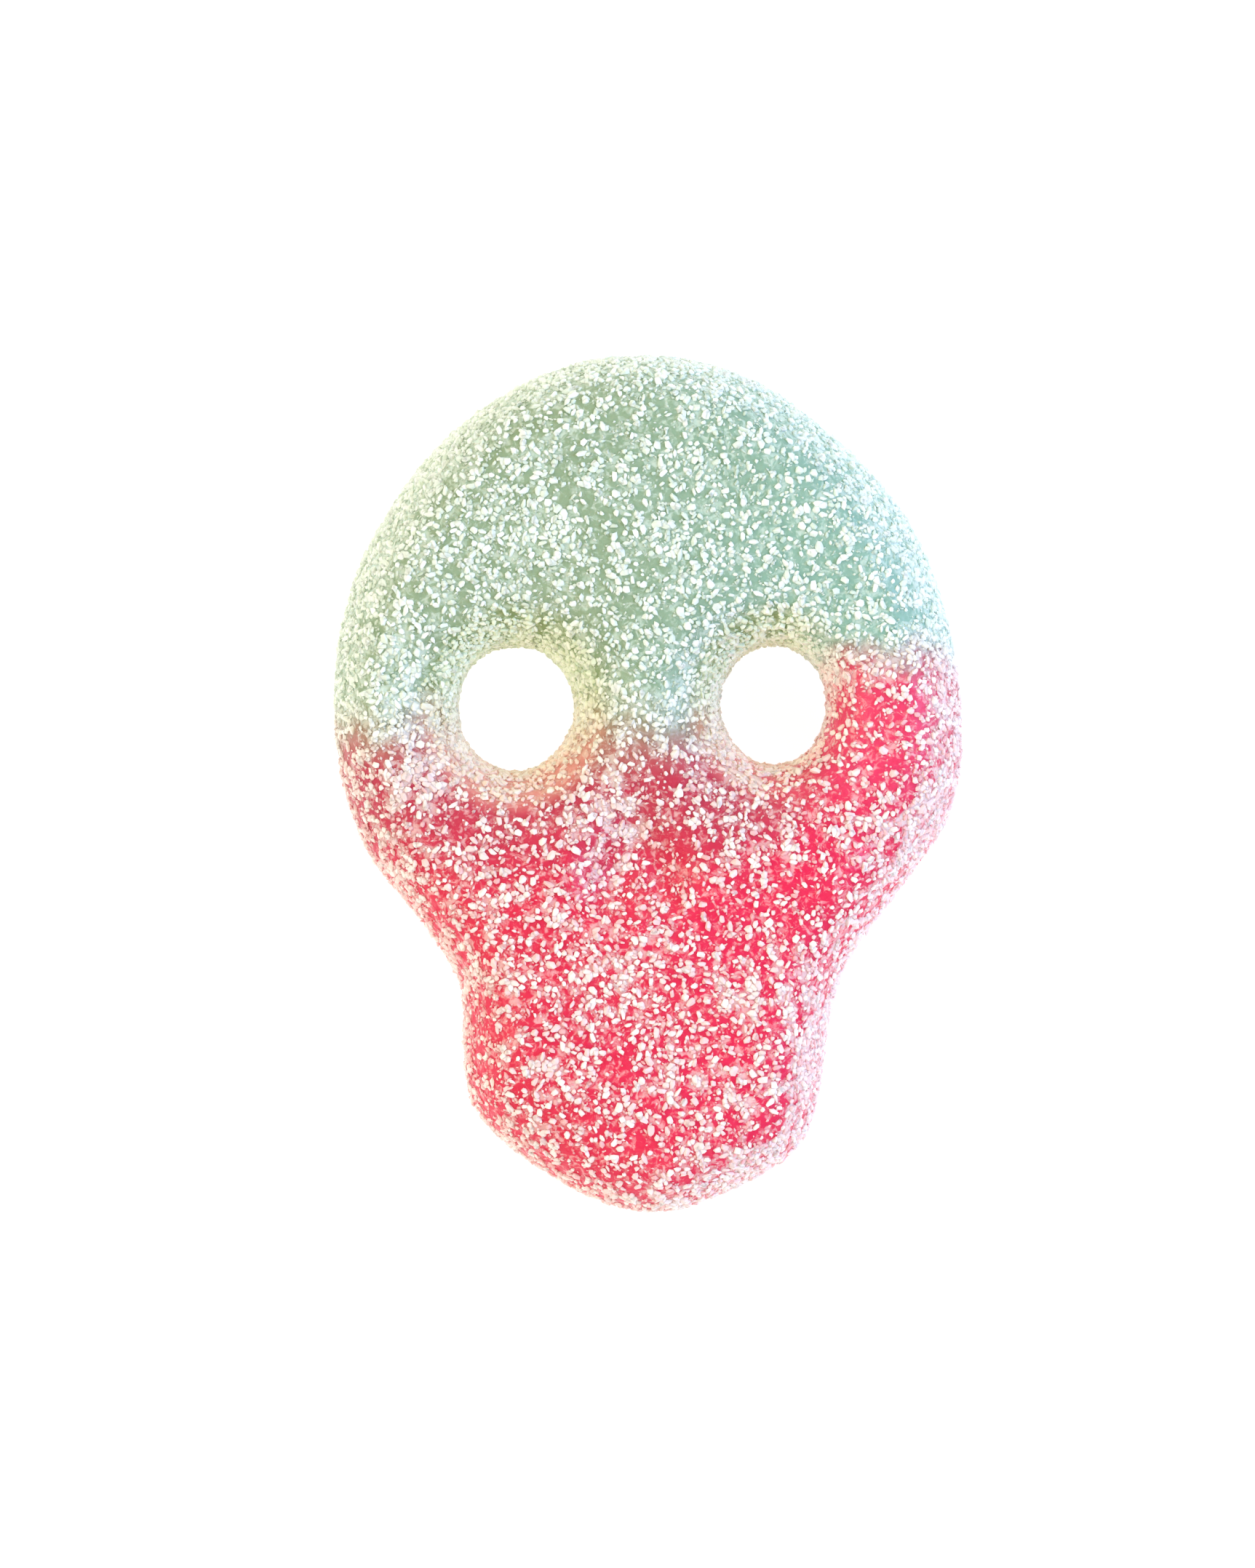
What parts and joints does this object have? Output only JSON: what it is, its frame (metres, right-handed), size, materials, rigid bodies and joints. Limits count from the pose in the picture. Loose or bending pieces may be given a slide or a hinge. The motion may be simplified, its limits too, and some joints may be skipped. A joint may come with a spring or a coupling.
{
  "type": "sugared gummy skull",
  "caption": "Soft sugar-coated gummy sweet cast as a skull, with round eye holes right through, a nose hollow and a flat back that it lies on.",
  "frame": {"origin": "under the middle of the skull, on the surface that it lies on", "axes": "+Y towards the crown of the skull, +X to the right of the face, +Z out of the face"},
  "size_m": [0.033, 0.045, 0.0091],
  "materials": {
    "sugared_gel": "soft translucent gel, muted green above and red below, flowing into each other across the eyes",
    "sugar": "white granulated sugar, rounded grains stuck to every side"
  },
  "bodies": {
    "root": {"gummy_skull": "sugared_gel"}
  },
  "joints": []
}
